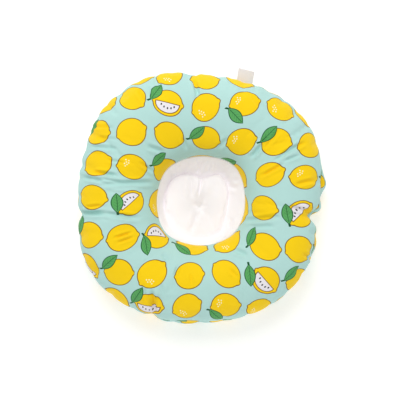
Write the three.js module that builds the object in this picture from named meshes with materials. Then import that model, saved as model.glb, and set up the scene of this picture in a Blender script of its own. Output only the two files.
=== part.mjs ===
// A soft recovery collar for a cat or a small dog: a fat stuffed ring that keeps the animal from its wound.
// The ring lies on its back panel with the front panel up. +Z is the collar's front, +Y is its top edge,
// and the origin is the middle of its footprint. Lengths are in millimetres and angles in degrees,
// counted from +X towards +Y.
import * as THREE from "three";

// Ring
const RIM_RADIUS = 145; // outer seam, on average
const HOLE_RADIUS = 52; // inner seam, on average
const HOLE_DROP = 6; // the hole's centre lies this far towards -Y of the rim's
const SEAM_HEIGHT = 31; // both seams above the floor
const FRONT_RISE = 35; // crest of the front panel above the seams
const BACK_PRESS = 5; // how much deeper the back panel would hang if the floor didn't flatten it
const BACK_BULGE = 7; // how far the back panel can swell out past the outer seam
const SEAM_PINCH = 2; // how far the outer seam draws in between the panels
const SQUARENESS = 0.85; // power on the section's sine and cosine: 1 is an ellipse, 0 a box
const CREST_SHIFT = 0.05; // the crest lies this share of the ring's width outside its middle
const COVER_CLOTH = 1.4; // printed cotton with its backing

// Neck sleeve
const SLEEVE_CLOTH = 1;
const LOBE_HEIGHT = 10; // how high the gathered end puffs up between its creases
const GATHER_SHIFT_X = -2.5; // the gathers meet this far from the hole's centre
const GATHER_SHIFT_Y = -9;

// Label, a tape folded into a loop and sewn into the outer seam
const LABEL_ANGLE = 69;
const LABEL_LEAN = 80; // direction in which the label points
const LABEL_WIDTH = 18.5;
const LABEL_LENGTH = 15.5;
const LABEL_CLOTH = 1;
const LABEL_SLIT = 0.6; // space between the two layers

const GAP = 0.3; // clearance between neighbouring pieces
const SECTIONS_AROUND = 90;
const SLEEVE_SECTIONS_AROUND = 72;
const SECTION_TURNS = [0, 9, 24, 44, 70, 100, 130, 157, 180]; // from the outer seam over to the inner one
const LABEL_ARC_STEPS = 6;

// Sections of the ring: rim is a share of RIM_RADIUS, hole of HOLE_RADIUS, crest of FRONT_RISE
// and bulge of BACK_BULGE.
const RING_SECTIONS = [
  { angle: 0, rim: 0.931, hole: 0.97, crest: 0.98, bulge: 0.85 },
  { angle: 15, rim: 0.976, hole: 0.985, crest: 1, bulge: 0.35 },
  { angle: 30, rim: 1.01, hole: 1.02, crest: 0.96, bulge: 0 },
  { angle: 45, rim: 1.006, hole: 1.06, crest: 0.95, bulge: 0 },
  { angle: 60, rim: 0.984, hole: 1.04, crest: 0.99, bulge: 0 },
  { angle: 75, rim: 0.961, hole: 1, crest: 1, bulge: 0 },
  { angle: 90, rim: 0.961, hole: 0.985, crest: 0.97, bulge: 0 },
  { angle: 105, rim: 1, hole: 0.985, crest: 1, bulge: 0 },
  { angle: 120, rim: 1.029, hole: 1, crest: 1, bulge: 0 },
  { angle: 135, rim: 1.037, hole: 1.02, crest: 0.98, bulge: 0 },
  { angle: 150, rim: 1.002, hole: 1, crest: 0.97, bulge: 0 },
  { angle: 165, rim: 0.971, hole: 0.975, crest: 0.94, bulge: 0 },
  { angle: 180, rim: 0.955, hole: 0.97, crest: 0.95, bulge: 0 },
  { angle: 195, rim: 0.996, hole: 0.985, crest: 0.98, bulge: 0 },
  { angle: 210, rim: 1.049, hole: 1.02, crest: 1, bulge: 0 },
  { angle: 225, rim: 1.058, hole: 1.04, crest: 1, bulge: 0 },
  { angle: 240, rim: 1.038, hole: 1.01, crest: 0.99, bulge: 0.1 },
  { angle: 255, rim: 1.015, hole: 0.985, crest: 0.98, bulge: 0.15 },
  { angle: 270, rim: 0.988, hole: 0.98, crest: 1, bulge: 0.15 },
  { angle: 285, rim: 1, hole: 0.985, crest: 1, bulge: 0.15 },
  { angle: 300, rim: 1.017, hole: 1, crest: 0.98, bulge: 0.05 },
  { angle: 315, rim: 1.017, hole: 1.02, crest: 0.97, bulge: 0 },
  { angle: 330, rim: 0.994, hole: 1, crest: 0.99, bulge: 0.2 },
  { angle: 345, rim: 0.939, hole: 0.98, crest: 0.96, bulge: 0.35 },
];

// Puckers of the outer seam: depth is a share of RIM_RADIUS, spread the half width in degrees.
const RIM_PUCKERS = [
  { angle: 349.5, depth: 0.055, spread: 4 },
  { angle: 189, depth: 0.024, spread: 3.5 },
  { angle: 158, depth: 0.012, spread: 4 },
  { angle: 129, depth: 0.014, spread: 3.5 },
  { angle: 95, depth: 0.018, spread: 3.5 },
  { angle: 82, depth: 0.014, spread: 4 },
  { angle: 69, depth: 0.016, spread: 4 },
  { angle: 57, depth: 0.008, spread: 3.5 },
  { angle: 248, depth: 0.015, spread: 3.5 },
];

// Folds that run across a panel: depth is a share of the crest, spread in degrees, and from and to are
// shares of the way from the hole (0) to the rim (1).
const FRONT_FOLDS = [
  { angle: 350, depth: 0.2, spread: 5, from: 0.45, to: 1.1 },
  { angle: 187, depth: 0.15, spread: 5, from: 0.3, to: 1.1 },
  { angle: 168, depth: 0.14, spread: 5, from: -0.1, to: 0.75 },
  { angle: 152, depth: 0.08, spread: 5, from: 0.1, to: 0.9 },
  { angle: 30, depth: 0.12, spread: 5, from: -0.1, to: 0.65 },
  { angle: 46, depth: 0.1, spread: 5, from: -0.1, to: 0.5 },
  { angle: 96, depth: 0.08, spread: 6, from: 0.3, to: 1.1 },
  { angle: 212, depth: 0.07, spread: 5, from: -0.1, to: 0.6 },
  { angle: 247, depth: 0.09, spread: 5, from: 0.5, to: 1.1 },
  { angle: 328, depth: 0.07, spread: 5, from: -0.1, to: 0.5 },
];
const BACK_FOLDS = [
  { angle: 350, depth: 0.14, spread: 6, from: 0.6, to: 1.1 },
  { angle: 188, depth: 0.12, spread: 6, from: 0.6, to: 1.1 },
  { angle: 93, depth: 0.1, spread: 6, from: 0.6, to: 1.1 },
  { angle: 247, depth: 0.1, spread: 6, from: 0.6, to: 1.1 },
];

// The sleeve from its seam down to the floor and in to the gathers: radius is a share of the hole,
// height of the way up from the floor to the seam, drift of the gathers' shift and puff of LOBE_HEIGHT.
const SLEEVE_ROWS = [
  { radius: 1, height: 1.03, drift: 0, puff: 0 },
  { radius: 0.95, height: 0.73, drift: 0.1, puff: 0 },
  { radius: 0.88, height: 0.36, drift: 0.35, puff: 0 },
  { radius: 0.76, height: 0.09, drift: 0.7, puff: 0.15 },
  { radius: 0.58, height: 0.03, drift: 0.9, puff: 0.9 },
  { radius: 0.34, height: 0.03, drift: 1, puff: 1 },
  { radius: 0.14, height: 0.03, drift: 1, puff: 0.7 },
  { radius: 0.04, height: 0.03, drift: 1, puff: 0.3 },
];

// Creases of the gathered end: depth is a share of the lobes' height.
const SLEEVE_CREASES = [
  { angle: 92, depth: 0.85, spread: 13 },
  { angle: 250, depth: 0.7, spread: 15 },
  { angle: 332, depth: 0.5, spread: 12 },
  { angle: 205, depth: 0.3, spread: 12 },
  { angle: 35, depth: 0.35, spread: 12 },
  { angle: 150, depth: 0.2, spread: 12 },
  { angle: 292, depth: 0.3, spread: 10 },
];

const radians = THREE.MathUtils.degToRad;
const bell = (x) => Math.exp(-x * x);
const power = (x, p) => Math.sign(x) * Math.abs(x) ** p;

// How far two directions lie apart, from -180 to 180 degrees.
function turnBetween(a, b) {
  return THREE.MathUtils.euclideanModulo(a - b + 180, 360) - 180;
}

// A column of a table whose rows go evenly once around, read smoothly between its rows.
function around(rows, column, angle) {
  const place = THREE.MathUtils.euclideanModulo(angle / 360, 1) * rows.length;
  const row = Math.floor(place);
  const value = (step) => rows[(row + step + rows.length) % rows.length][column];
  const curve = new THREE.CatmullRomCurve3(
    [-1, 0, 1, 2].map((step) => new THREE.Vector3(step, value(step), 0)),
    false,
    "catmullrom",
  );
  return curve.getPoint((1 + place - row) / 3).y;
}

// The sum of a table's dents at an angle.
function dents(rows, angle) {
  return rows.reduce((sum, row) => sum + row.depth * bell(turnBetween(angle, row.angle) / row.spread), 0);
}

// The sum of a panel's folds at an angle and a share across, each one faded in and out over its ends.
function foldDepth(rows, angle, across) {
  const reach = (row) => {
    const along = (across - row.from) / (row.to - row.from);
    return along <= 0 || along >= 1 ? 0 : Math.sin(Math.PI * along);
  };
  return rows.reduce(
    (sum, row) => sum + row.depth * reach(row) * bell(turnBetween(angle, row.angle) / row.spread),
    0,
  );
}

function rimPoint(angle) {
  const radius = RIM_RADIUS * (around(RING_SECTIONS, "rim", angle) - dents(RIM_PUCKERS, angle));
  const turn = radians(angle);
  return new THREE.Vector2(radius * Math.cos(turn), radius * Math.sin(turn));
}

function holePoint(angle) {
  const radius = HOLE_RADIUS * around(RING_SECTIONS, "hole", angle);
  const turn = radians(angle);
  return new THREE.Vector2(radius * Math.cos(turn), radius * Math.sin(turn) - HOLE_DROP);
}

// How the back panel's swelling runs from the outer seam (0) to the panel's lowest point (90): most near the seam.
function swellShare(turn) {
  return Math.sin(Math.PI * Math.sqrt(turn / 90));
}

// One half of the ring's section, front (side 1) or back (side -1), from the outer seam to the inner one.
// x is the way out from the inner seam and y the height. Inset moves it into the ring.
function halfSection(angle, side, inset) {
  const width = rimPoint(angle).distanceTo(holePoint(angle));
  const seam = SEAM_HEIGHT + (side * GAP) / 2;
  const points = SECTION_TURNS.map((turn) => {
    const sine = Math.sin(radians(turn));
    const cosine = Math.cos(radians(turn));
    const out = 0.5 + 0.5 * power(cosine, SQUARENESS) + CREST_SHIFT * sine;
    const pinch = turn < 90 ? SEAM_PINCH * (1 - sine) ** 4 : 0;
    if (side > 0) {
      const rise = FRONT_RISE * around(RING_SECTIONS, "crest", angle) * (1 - foldDepth(FRONT_FOLDS, angle, out));
      return new THREE.Vector2(width * out - pinch, seam + rise * power(sine, SQUARENESS));
    }
    const swell = turn < 90 ? BACK_BULGE * around(RING_SECTIONS, "bulge", angle) * swellShare(turn) : 0;
    const drop = (SEAM_HEIGHT + BACK_PRESS) * (1 - foldDepth(BACK_FOLDS, angle, out));
    return new THREE.Vector2(width * out - pinch + swell, Math.max(0, seam - drop * power(sine, SQUARENESS)));
  });
  return inset === 0 ? points : insetSection(points, side, inset);
}

// The half section moved inwards by a distance, its two ends along the seams' height.
function insetSection(points, side, inset) {
  const last = points.length - 1;
  return points.map((point, i) => {
    if (i === 0) return new THREE.Vector2(point.x - inset, point.y);
    if (i === last) return new THREE.Vector2(point.x + inset, point.y);
    const before = point.clone().sub(points[i - 1]).normalize();
    const after = points[i + 1].clone().sub(point).normalize();
    const along = before.add(after).normalize();
    const miter = inset / Math.max(0.5, along.dot(after));
    return new THREE.Vector2(point.x - side * along.y * miter, point.y + side * along.x * miter);
  });
}

// A closed ring swept through one closed section for each angle. The section goes counterclockwise,
// seen with the way out to the right and up at the top: inwards in its first half and back out in its second.
// The faces are split alike in both halves, so that neighbouring layers stay parallel.
function sweepRing(sections, sectionAt) {
  const positions = [];
  const index = [];
  let count = 0;
  for (let i = 0; i < sections; i += 1) {
    const section = sectionAt((360 * i) / sections);
    count = section.length;
    section.forEach((point) => positions.push(point.x, point.y, point.z));
  }
  for (let i = 0; i < sections; i += 1) {
    const next = (i + 1) % sections;
    for (let j = 0; j < count; j += 1) {
      const k = (j + 1) % count;
      const [a, b, c, d] = [i * count + j, next * count + j, next * count + k, i * count + k];
      index.push(...(j < count / 2 ? [a, b, c, a, c, d] : [a, b, d, b, c, d]));
    }
  }
  const geometry = new THREE.BufferGeometry();
  geometry.setAttribute("position", new THREE.Float32BufferAttribute(positions, 3));
  geometry.setIndex(index);
  geometry.computeVertexNormals();
  return geometry;
}

// Section points of the ring set up at an angle, between the hole and the rim.
function standUp(angle, points) {
  const inner = holePoint(angle);
  const outward = rimPoint(angle).sub(inner).normalize();
  return points.map((p) => new THREE.Vector3(inner.x + outward.x * p.x, inner.y + outward.y * p.x, p.y));
}

// A cloth panel of the cover: its outside, and back along its inside.
function panelGeometry(side) {
  return sweepRing(SECTIONS_AROUND, (angle) => {
    const outside = halfSection(angle, side, 0);
    const inside = halfSection(angle, side, COVER_CLOTH).reverse();
    const loop = [...outside, ...inside];
    return standUp(angle, side > 0 ? loop : loop.reverse());
  });
}

function fillingGeometry() {
  const inset = COVER_CLOTH + GAP;
  return sweepRing(SECTIONS_AROUND, (angle) => {
    const front = halfSection(angle, 1, inset);
    const back = halfSection(angle, -1, inset).reverse().slice(1, -1);
    return standUp(angle, [...front, ...back]);
  });
}

// The sleeve's middle surface: a slightly conical wall, then lobes and creases that run in to the gathers.
function sleevePoint(angle, row) {
  const hole = holePoint(angle);
  const centre = new THREE.Vector2(0, -HOLE_DROP);
  const wall = hole.distanceTo(centre) - GAP - SLEEVE_CLOTH / 2;
  const lowest = GAP + SLEEVE_CLOTH / 2;
  const lobes = SLEEVE_CREASES.reduce(
    (share, crease) => share * (1 - crease.depth * bell(turnBetween(angle, crease.angle) / crease.spread)),
    1,
  );
  const height = lowest + (SEAM_HEIGHT - lowest) * row.height + LOBE_HEIGHT * row.puff * lobes;
  return new THREE.Vector2(wall * row.radius, height);
}

function sleeveGeometry() {
  return sweepRing(SLEEVE_SECTIONS_AROUND, (angle) => {
    const middle = SLEEVE_ROWS.map((row) => sleevePoint(angle, row));
    const last = middle.length - 1;
    const turn = radians(angle);
    const side = (offset) =>
      middle.map((point, i) => {
        const along = middle[Math.min(i + 1, last)].clone().sub(middle[Math.max(i - 1, 0)]).normalize();
        const radius = point.x - along.y * offset;
        const drift = SLEEVE_ROWS[i].drift;
        return new THREE.Vector3(
          radius * Math.cos(turn) + drift * GATHER_SHIFT_X,
          radius * Math.sin(turn) - HOLE_DROP + drift * GATHER_SHIFT_Y,
          point.y + along.x * offset,
        );
      });
    return [...side(-SLEEVE_CLOTH / 2), ...side(SLEEVE_CLOTH / 2).reverse()];
  });
}

// The label's loop in side view, from its open end at the seam to its fold, extruded across its width.
function labelGeometry() {
  const thick = 2 * LABEL_CLOTH + LABEL_SLIT;
  const slit = LABEL_SLIT / 2;
  const fold = LABEL_LENGTH - thick / 2;
  const outline = new THREE.Shape();
  outline.moveTo(0, -thick / 2);
  outline.lineTo(fold, -thick / 2);
  outline.absarc(fold, 0, thick / 2, -Math.PI / 2, Math.PI / 2, false);
  outline.lineTo(0, thick / 2);
  outline.lineTo(0, slit);
  outline.lineTo(fold, slit);
  outline.absarc(fold, 0, slit, Math.PI / 2, -Math.PI / 2, true);
  outline.lineTo(0, -slit);
  outline.closePath();
  const geometry = new THREE.ExtrudeGeometry(outline, {
    depth: LABEL_WIDTH,
    bevelEnabled: false,
    curveSegments: LABEL_ARC_STEPS,
  });
  return geometry.translate(0, 0, -LABEL_WIDTH / 2);
}

// The label's place: its open end lies along the rim, its sides lean as it hangs.
function labelPlace() {
  const seamPoint = (angle) => {
    const rim = rimPoint(angle);
    return rim.sub(rim.clone().sub(holePoint(angle)).setLength(SEAM_PINCH));
  };
  const reach = THREE.MathUtils.radToDeg(LABEL_WIDTH / 2 / RIM_RADIUS);
  const middle = seamPoint(LABEL_ANGLE);
  const tangent = seamPoint(LABEL_ANGLE + reach).sub(seamPoint(LABEL_ANGLE - reach)).normalize();
  const normal = new THREE.Vector2(tangent.y, -tangent.x);
  const heights = [-1, -0.5, 0, 0.5, 1].map((share) => {
    const point = seamPoint(LABEL_ANGLE + share * reach);
    return point.sub(middle).dot(normal);
  });
  const base = middle.addScaledVector(normal, Math.max(...heights) + 2 * GAP);
  const lean = new THREE.Vector3(Math.cos(radians(LABEL_LEAN)), Math.sin(radians(LABEL_LEAN)), 0);
  const up = new THREE.Vector3(0, 0, 1);
  const across = new THREE.Vector3(-tangent.x, -tangent.y, 0);
  return new THREE.Matrix4().makeBasis(lean, up, across).setPosition(base.x, base.y, SEAM_HEIGHT);
}

function cloth(color, roughness) {
  return new THREE.MeshStandardMaterial({ color, roughness, metalness: 0 });
}

// The cover's printed cotton, in the tint of its ground between the fruit.
function printedCotton() {
  return cloth(0xb4ded8, 0.9);
}

function whiteCotton() {
  return cloth(0xf6f2ee, 0.9);
}

function fibreFill() {
  return cloth(0xf4f2ee, 1);
}

function wovenTape() {
  return cloth(0xe6e0da, 0.8);
}

function piece(name, geometry, material) {
  const mesh = new THREE.Mesh(geometry, material);
  mesh.name = name;
  return mesh;
}

const collar = new THREE.Group();
collar.add(
  piece("front_panel", panelGeometry(1), printedCotton()),
  piece("back_panel", panelGeometry(-1), printedCotton()),
  piece("filling", fillingGeometry(), fibreFill()),
  piece("neck_sleeve", sleeveGeometry(), whiteCotton()),
  piece("side_label", labelGeometry().applyMatrix4(labelPlace()), wovenTape()),
);

// The footprint's middle goes to the origin.
const bounds = new THREE.Box3().setFromObject(collar);
const middle = bounds.getCenter(new THREE.Vector3());
collar.position.set(-middle.x, -middle.y, -bounds.min.z);

export default collar;
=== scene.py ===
"""A soft recovery collar in a printed cotton cover, lying on its back, seen from above.

Everything is in metres and in the model's frame: +Z out of the front panel, +Y towards the collar's top edge.
Angles are in degrees, counted from +X towards +Y.
"""

import math

import bpy
import numpy as np
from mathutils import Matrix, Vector


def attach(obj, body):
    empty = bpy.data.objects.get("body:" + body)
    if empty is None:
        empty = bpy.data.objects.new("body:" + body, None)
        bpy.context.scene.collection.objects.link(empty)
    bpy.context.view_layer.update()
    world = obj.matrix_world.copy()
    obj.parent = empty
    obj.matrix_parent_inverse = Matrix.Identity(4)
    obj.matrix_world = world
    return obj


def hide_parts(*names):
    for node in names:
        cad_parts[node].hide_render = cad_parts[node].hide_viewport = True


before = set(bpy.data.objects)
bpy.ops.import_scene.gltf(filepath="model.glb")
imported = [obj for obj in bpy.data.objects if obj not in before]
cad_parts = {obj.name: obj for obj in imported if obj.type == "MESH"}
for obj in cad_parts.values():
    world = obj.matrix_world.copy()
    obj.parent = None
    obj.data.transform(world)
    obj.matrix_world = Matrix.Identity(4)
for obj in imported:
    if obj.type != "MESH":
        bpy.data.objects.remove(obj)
bpy.context.view_layer.update()

MM = 0.001

# Ring, as in the solid model
RING_CENTRE = (-0.602 * MM, -1.34 * MM)
RIM_RADIUS = 145 * MM
HOLE_RADIUS = 52 * MM
HOLE_DROP = 6 * MM
SEAM_HEIGHT = 31 * MM
FRONT_RISE = 35 * MM
BACK_DROP = 36 * MM
BACK_BULGE = 7 * MM
SEAM_PINCH = 2.5 * MM
SQUARENESS = 0.85
CREST_SHIFT = 0.05
COVER_CLOTH = 1.2 * MM

# Mesh
AROUND = 300
ROWS_ACROSS = 32
SLEEVE_AROUND = 216
SLEEVE_ROWS_DOWN = 56
FINE_TURNS = 721

# Share of the average radius of the rim, the hole and the crest, and of the back's bulge, every 15 degrees
SECTION_STEP = 15
RIM_SHARES = [
    0.931, 0.976, 1.01, 1.006, 0.984, 0.961, 0.961, 1, 1.029, 1.037, 1.004, 0.977,
    0.966, 0.996, 1.049, 1.058, 1.038, 1.015, 0.988, 1, 1.017, 1.017, 0.994, 0.939,
]
HOLE_SHARES = [
    0.97, 0.985, 1.02, 1.06, 1.04, 1, 0.985, 0.985, 1, 1.02, 1, 0.975,
    0.97, 0.985, 1.02, 1.04, 1.01, 0.985, 0.98, 0.985, 1, 1.02, 1, 0.98,
]
CREST_SHARES = [
    0.98, 1, 0.96, 0.95, 0.99, 1, 0.97, 1, 1, 0.98, 0.97, 0.94,
    0.95, 0.98, 1, 1, 0.99, 0.98, 1, 0.98, 0.98, 0.97, 0.99, 0.96,
]
BULGE_SHARES = [
    0.85, 0.35, 0, 0, 0, 0, 0, 0, 0, 0, 0, 0,
    0, 0, 0, 0, 0.1, 0.15, 0.15, 0.15, 0.05, 0, 0.2, 0.35,
]

# Puckers of the outer seam: angle, depth as a share of the rim's radius, half width in degrees
RIM_PUCKERS = [
    (349.5, 0.055, 4), (189, 0.024, 3.5), (158, 0.012, 4), (129, 0.014, 3.5), (95, 0.018, 3.5),
    (82, 0.014, 4), (69, 0.016, 4), (57, 0.008, 3.5), (248, 0.015, 3.5),
]

# Smaller gathers of the same seam, in the same numbers
RIM_GATHERS = [
    (7, 0.006, 1.8), (24, 0.007, 2), (33, 0.006, 1.8), (41, 0.008, 2), (49, 0.006, 1.6),
    (63, 0.009, 1.8), (75, 0.006, 1.6), (88, 0.007, 1.8), (92, 0.011, 1.5), (103, 0.006, 2),
    (111, 0.009, 1.8), (119, 0.007, 2), (136, 0.009, 2), (143, 0.007, 1.8), (151, 0.008, 2),
    (166, 0.011, 1.8), (172, 0.008, 1.6), (181, 0.006, 2), (189.5, 0.006, 1.6), (199, 0.007, 2),
    (208, 0.006, 1.8), (217, 0.008, 2), (228, 0.006, 2), (239, 0.008, 1.8), (247.5, 0.01, 1.6),
    (258, 0.007, 2), (269, 0.006, 2), (280, 0.006, 2), (291, 0.007, 2), (302, 0.008, 2),
    (312, 0.007, 1.8), (322, 0.009, 2), (332, 0.008, 1.8), (341, 0.009, 1.8), (348.5, 0.018, 1.8),
]

# Share of the radius that the rim has to spare between its gathers, which makes up for their depth
RIM_SPARE = 0.004

# Folds that run inwards from the gathers: depth and reach at the usual gather, start, fade and widest spread
GATHER_DEPTH = 1.1 * MM
GATHER_REACH = 13 * MM
USUAL_GATHER = 0.008
GATHER_START = 2 * MM
GATHER_FADE = 0.2
WIDEST_GATHER = 2.2

# Where the back panel puffs out past the seam: angle, share of the bulge and half width in degrees
BACK_PUFFS = [
    (6, 0.7, 3.5), (359, -0.45, 3), (352, 0.5, 3.5), (338, 0.35, 6), (325, 0.1, 5),
    (190, 0.25, 4), (265, 0.45, 16),
]


def bell(x):
    return np.exp(-np.square(x))


def power(x, p):
    """A power that keeps the sign of x."""
    return np.sign(x) * np.abs(x) ** p


def turn_between(a, b):
    """How far two directions lie apart, from -180 to 180 degrees."""
    return np.mod(np.asarray(a) - b + 180, 360) - 180


def smooth_step(low, high, x):
    """0 below low, 1 above high and smooth between them."""
    t = np.clip((x - low) / (high - low), 0, 1)
    return t * t * (3 - 2 * t)


def around(shares, angle):
    """A table that goes evenly once around, read on a smooth closed curve through its values."""
    values = np.asarray(shares, float)
    place = np.mod(np.asarray(angle, float) / SECTION_STEP, len(values))
    row = np.floor(place).astype(int)
    t = place - row
    before, here, after, last = (values[(row + step) % len(values)] for step in (-1, 0, 1, 2))
    return 0.5 * (
        2 * here
        + (after - before) * t
        + (2 * before - 5 * here + 4 * after - last) * t**2
        + (3 * here - before - 3 * after + last) * t**3
    )


def dents(rows, angle):
    """The sum of a table's dents at some angles."""
    return sum(depth * bell(turn_between(angle, at) / spread) for at, depth, spread in rows)


def direction(angle):
    """The way that an angle points in the plane."""
    turn = np.radians(angle)
    return np.stack([np.cos(turn), np.sin(turn)], -1)


def rim_point(angle):
    """Points of the outer seam, from the ring's middle."""
    shares = around(RIM_SHARES, angle) + RIM_SPARE
    radius = RIM_RADIUS * (shares - dents(RIM_PUCKERS + RIM_GATHERS, angle))
    return radius[..., None] * direction(angle)


def hole_point(angle):
    """Points of the hole's seam, from the ring's middle."""
    radius = HOLE_RADIUS * around(HOLE_SHARES, angle)
    return radius[..., None] * direction(angle) - np.array([0, HOLE_DROP])


def ring_section(angle, turn, side):
    """The way out from the hole's seam and the height above the seams.

    The turn goes over the section, from 0 at the rim to 180 at the hole.
    """
    width = np.linalg.norm(rim_point(angle) - hole_point(angle), axis=-1)
    sine = np.sin(np.radians(turn))
    cosine = np.cos(np.radians(turn))
    out = 0.5 + 0.5 * power(cosine, SQUARENESS) + CREST_SHIFT * sine
    outer = turn < 90
    pinch = np.where(outer, SEAM_PINCH * (1 - sine) ** 4, 0)
    if side > 0:
        return width * out - pinch, FRONT_RISE * around(CREST_SHARES, angle) * power(sine, SQUARENESS)
    bulge = BACK_BULGE * (around(BULGE_SHARES, angle) + dents(BACK_PUFFS, angle))
    swell = bulge * np.sin(np.pi * np.sqrt(np.clip(turn / 90, 0, 1)))
    way_out = width * out - pinch + np.where(outer, swell, 0)
    return way_out, -np.minimum(SEAM_HEIGHT, BACK_DROP * power(sine, SQUARENESS))


def stand_up(angle, way_out, height):
    """Section points set up at their angles, in the model's frame."""
    inner = hole_point(angle)
    outward = rim_point(angle) - inner
    outward /= np.linalg.norm(outward, axis=-1, keepdims=True)
    plane = inner + outward * way_out[..., None] + np.array(RING_CENTRE)
    return np.concatenate([plane, (SEAM_HEIGHT + height)[..., None]], -1)


def panel_grid(side):
    """Angles and points of one panel, rows from the rim's seam to the hole's."""
    angles = np.arange(AROUND) * 360 / AROUND
    # rows lie evenly along the section's arc
    fine = np.linspace(0, 180, FINE_TURNS)
    grid = np.zeros((AROUND, ROWS_ACROSS + 1, 3))
    arcs = np.zeros((AROUND, ROWS_ACROSS + 1))
    for i, angle in enumerate(angles):
        way_out, height = ring_section(np.full(fine.shape, angle), fine, side)
        steps = np.hypot(np.diff(way_out), np.diff(height))
        arc = np.concatenate([[0], np.cumsum(steps)])
        wanted = np.linspace(0, arc[-1], ROWS_ACROSS + 1)
        rows_out = np.interp(wanted, arc, way_out)
        rows_high = np.interp(wanted, arc, height)
        crest = np.interp(90, fine, arc)
        grid[i] = stand_up(np.full(wanted.shape, angle), rows_out, rows_high)
        arcs[i] = crest - wanted
    return angles, grid, arcs


# Flat cloth that carries the print and meets the ring at its crest. From there inwards and outwards it has
# these shares of the section's arc.
CLOTH_SHARE_IN = 0.9
CLOTH_SHARE_OUT = 0.99

# Cloth that the ring takes in at its four sides, in its upper half, left and right, and how the top slips
CLOTH_TAKEN = 4.5 * MM
TOP_TAKEN = 4.2 * MM
SIDES_TAKEN = 3.8 * MM
TOP_SLIP = 4.1 * MM
BACK_CLOTH_SHIFT = (11 * MM, 7 * MM)

# Bands over which that starts or stops: along the section's arc, to the sides and upwards
INNER_BAND = (-55 * MM, -10 * MM)
OUTER_BAND = (0, 50 * MM)
OUTER_LOSS = 0.45
SIDE_BAND = (35 * MM, 70 * MM)
RIM_BAND = (90 * MM, 120 * MM)
RIM_LOSS = 0.5
LOW_BAND = (-80 * MM, -50 * MM)
HIGH_BAND = (35 * MM, 70 * MM)
UPPER_BAND = (-20 * MM, 50 * MM)
TOP_BAND = (112 * MM, 145 * MM)


def cloth_coordinates(angles, arcs, side):
    """Where each point lies on the flat cloth, in metres."""
    share = np.where(arcs > 0, CLOTH_SHARE_OUT, CLOTH_SHARE_IN)
    inner = hole_point(angles)
    outward = rim_point(angles) - inner
    width = np.linalg.norm(outward, axis=-1)
    outward /= width[:, None]
    crest = width * (0.5 + CREST_SHIFT)
    at_sides = 0.5 + 0.5 * np.cos(np.radians(4 * angles))[:, None]
    taken = smooth_step(*INNER_BAND, arcs) * (1 - OUTER_LOSS * smooth_step(*OUTER_BAND, arcs))
    reach = crest[:, None] + share * arcs + CLOTH_TAKEN * at_sides * taken
    flat = inner[:, None] + outward[:, None] * reach[..., None]
    right = flat[..., 0]
    up = flat[..., 1]
    aside = np.abs(right)
    far_out = smooth_step(*SIDE_BAND, aside) * (1 - RIM_LOSS * smooth_step(*RIM_BAND, aside))
    level = smooth_step(*LOW_BAND, up) * (1 - smooth_step(*HIGH_BAND, up))
    more_right = SIDES_TAKEN * np.sign(right) * far_out * level + TOP_SLIP * smooth_step(*TOP_BAND, up)
    more_up = TOP_TAKEN * smooth_step(*UPPER_BAND, up)
    flat = flat + np.stack([more_right, more_up], -1)
    if side < 0:
        flat = flat * np.array([-1, 1]) + np.array(BACK_CLOTH_SHIFT)
    return flat


def halved(grid, closed_across):
    """A grid with a new row between every two rows, on smooth curves through them."""
    def between(rows, closed):
        before = np.roll(rows, 1, axis=0)
        after = np.roll(rows, -1, axis=0)
        last = np.roll(rows, -2, axis=0)
        if not closed:
            before[0] = rows[0]
            after[-1] = rows[-1]
            last[-2:] = rows[-1]
        middle = (9 * (rows + after) - before - last) / 16
        both = np.stack([rows, middle], axis=1).reshape(-1, *rows.shape[1:])
        return both if closed else both[:-1]

    finer = between(grid, True)
    return np.swapaxes(between(np.swapaxes(finer, 0, 1), closed_across), 0, 1)


def grid_normals(points, closed_across):
    """Normals of a grid of points that closes around its first axis."""
    along = np.roll(points, -1, axis=0) - np.roll(points, 1, axis=0)
    if closed_across:
        across = np.roll(points, -1, axis=1) - np.roll(points, 1, axis=1)
    else:
        across = np.gradient(points, axis=1)
    normals = np.cross(along, across)
    return normals / np.linalg.norm(normals, axis=-1, keepdims=True)


def inset(points, distance):
    """A closed grid moved inwards."""
    return points - distance * grid_normals(points, True)


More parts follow.
